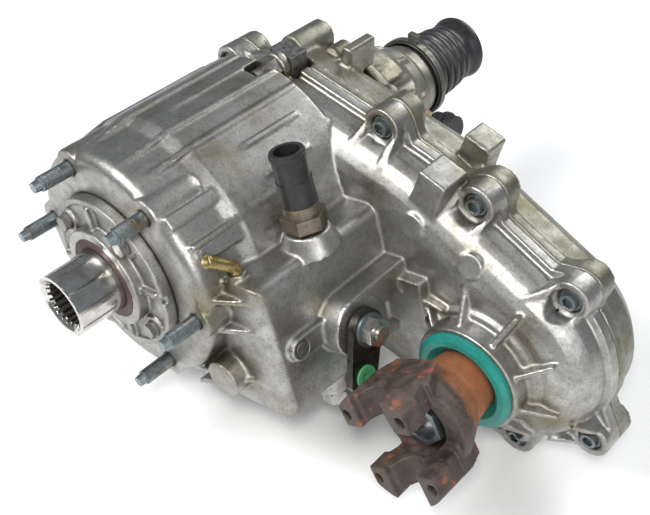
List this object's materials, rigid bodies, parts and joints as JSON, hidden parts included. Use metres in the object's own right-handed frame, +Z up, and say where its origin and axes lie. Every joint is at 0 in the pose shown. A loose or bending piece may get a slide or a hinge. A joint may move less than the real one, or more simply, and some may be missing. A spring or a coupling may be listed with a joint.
{
  "type": "transfer case",
  "caption": "Two-speed, chain-drive four-wheel-drive transfer case with planetary reduction, shift lever, front output yoke and booted rear output.",
  "frame": {"origin": "main shaft axis where it crosses the front mounting face", "axes": "+Y rearward along the main shaft, +Z up, +X towards the front output"},
  "size_m": [0.3722, 0.3925, 0.2281],
  "materials": {
    "cast_aluminium": "as cast, oil stained",
    "cast_aluminium_rear": "as cast, olive grey stain",
    "polished_steel": "ground and polished",
    "gear_steel": "machined, oiled",
    "bearing_steel": "ground",
    "zinc_steel": "dull zinc plate",
    "dark_steel": "black oxide, dirty",
    "bright_nut": "bright zinc plate",
    "stamped_steel": "dark phosphate, scuffed",
    "rusty_iron": "surface rust",
    "chain_steel": "oiled",
    "brass": "dull",
    "black_rubber": "matte",
    "teal_seal": "painted seal case and lip",
    "red_seal": "matte",
    "black_plastic": "moulded",
    "brown_plastic": "moulded, aged",
    "green_plastic": "moulded",
    "brown_steel": "tarnished",
    "magnet": "ferrite"
  },
  "bodies": {
    "case": {"front_case": "cast_aluminium", "rear_case": "cast_aluminium_rear", "input_retainer": "cast_aluminium", "retainer_bolts": "dark_steel", "input_seal": "red_seal", "mounting_studs": "zinc_steel", "input_bearing": "bearing_steel", "annulus_gear": "gear_steel", "drive_chain": "chain_steel", "oil_pump": "cast_aluminium", "pickup_tube": "black_plastic", "mainshaft_bearing": "bearing_steel", "rear_extension": "cast_aluminium_rear", "extension_bolts": "zinc_steel", "rear_seal": "black_rubber", "rubber_boot": "black_rubber", "boot_clamp": "zinc_steel", "speed_sensor": "brown_plastic", "sensor_connector": "black_plastic", "output_bearing_front": "bearing_steel", "output_bearing_rear": "bearing_steel", "output_seal": "teal_seal", "detent_plug": "dark_steel", "vent_fitting": "brass", "mode_switch": "brown_steel", "switch_cap": "black_plastic", "lower_plug": "cast_aluminium", "case_bolts": "zinc_steel", "corner_bolt": "dark_steel", "corner_nut": "dark_steel", "case_dowels": "bearing_steel", "oil_plugs": "zinc_steel", "chip_magnet": "magnet"},
    "input": {"input_gear": "polished_steel"},
    "mainshaft": {"mainshaft": "gear_steel", "mode_hub": "gear_steel", "speed_ring": "gear_steel"},
    "carrier": {"planet_carrier": "gear_steel", "planet_pins": "bearing_steel"},
    "planet_1": {"planet_gear_1": "gear_steel"},
    "planet_2": {"planet_gear_2": "gear_steel"},
    "planet_3": {"planet_gear_3": "gear_steel"},
    "planet_4": {"planet_gear_4": "gear_steel"},
    "drive_sprocket": {"drive_sprocket": "gear_steel"},
    "front_output": {"front_output_shaft": "gear_steel", "driven_sprocket": "gear_steel", "front_yoke": "rusty_iron", "yoke_nut": "zinc_steel"},
    "range_hub": {"range_hub": "gear_steel"},
    "range_fork": {"range_fork": "cast_aluminium"},
    "lever": {"shift_lever": "stamped_steel", "lever_grommet": "green_plastic", "sector_shaft": "gear_steel", "lever_washer": "zinc_steel", "lever_nut": "bright_nut", "shift_sector": "gear_steel"},
    "rail": {"shift_rail": "gear_steel", "mode_fork": "cast_aluminium"},
    "mode_sleeve": {"mode_sleeve": "gear_steel"},
    "plunger": {"detent_plunger": "bearing_steel"}
  },
  "joints": [
    {"name": "mainshaft_spin", "type": "hinge", "parent": "case", "child": "mainshaft", "pos_m": [0, 0, 0], "axis": [0, 1, 0], "continuous": true},
    {"name": "input_spin", "type": "hinge", "parent": "case", "child": "input", "pos_m": [0, 0, 0], "axis": [0, 1, 0], "continuous": true},
    {"name": "carrier_spin", "type": "hinge", "parent": "case", "child": "carrier", "pos_m": [0, 0, 0], "axis": [0, 1, 0], "continuous": true},
    {"name": "planet_1_spin", "type": "hinge", "parent": "carrier", "child": "planet_1", "pos_m": [0.048, 0, 0], "axis": [0, 1, 0], "continuous": true},
    {"name": "planet_2_spin", "type": "hinge", "parent": "carrier", "child": "planet_2", "pos_m": [0, 0, -0.048], "axis": [0, 1, 0], "continuous": true},
    {"name": "planet_3_spin", "type": "hinge", "parent": "carrier", "child": "planet_3", "pos_m": [-0.048, 0, 0], "axis": [0, 1, 0], "continuous": true},
    {"name": "planet_4_spin", "type": "hinge", "parent": "carrier", "child": "planet_4", "pos_m": [0, 0, 0.048], "axis": [0, 1, 0], "continuous": true},
    {"name": "drive_sprocket_spin", "type": "hinge", "parent": "case", "child": "drive_sprocket", "pos_m": [0, 0, 0], "axis": [0, 1, 0], "continuous": true},
    {"name": "front_output_spin", "type": "hinge", "parent": "case", "child": "front_output", "pos_m": [0.19565, 0, -0.04159], "axis": [0, 1, 0], "continuous": true},
    {"name": "range_fork_slide", "type": "slide", "parent": "case", "child": "range_fork", "axis": [0, 1, 0], "range_m": [0, 0.0115]},
    {"name": "range_hub_slide", "type": "slide", "parent": "mainshaft", "child": "range_hub", "axis": [0, 1, 0], "range_m": [0, 0.0115]},
    {"name": "lever_swing", "type": "hinge", "parent": "case", "child": "lever", "pos_m": [0.13713, 0.0735, -0.01245], "axis": [-0.9563, 0, -0.2924], "range_deg": [0, 26]},
    {"name": "rail_slide", "type": "slide", "parent": "case", "child": "rail", "axis": [0, -1, 0], "range_m": [0, 0.01049]},
    {"name": "mode_sleeve_slide", "type": "slide", "parent": "mainshaft", "child": "mode_sleeve", "axis": [0, -1, 0], "range_m": [0, 0.0105]},
    {"name": "detent_press", "type": "slide", "parent": "case", "child": "plunger", "axis": [0.9563, 0, 0.2924], "range_m": [0, 0.0015], "stiffness_N_per_m": 1500, "springref_m": -0.003}
  ],
  "couplings": [
    {"joint": "input_spin", "follows": "mainshaft_spin", "ratio": 1},
    {"joint": "carrier_spin", "follows": "mainshaft_spin", "ratio": 0.36458},
    {"joint": "planet_1_spin", "follows": "mainshaft_spin", "ratio": -1.7107},
    {"joint": "planet_2_spin", "follows": "mainshaft_spin", "ratio": -1.7107},
    {"joint": "planet_3_spin", "follows": "mainshaft_spin", "ratio": -1.7107},
    {"joint": "planet_4_spin", "follows": "mainshaft_spin", "ratio": -1.7107},
    {"joint": "drive_sprocket_spin", "follows": "mainshaft_spin", "ratio": 1},
    {"joint": "front_output_spin", "follows": "mainshaft_spin", "ratio": 1},
    {"joint": "range_hub_slide", "follows": "range_fork_slide", "ratio": 1},
    {"joint": "lever_swing", "follows": "rail_slide", "rad_per_m": 43.259},
    {"joint": "mode_sleeve_slide", "follows": "rail_slide", "ratio": 1}
  ]
}
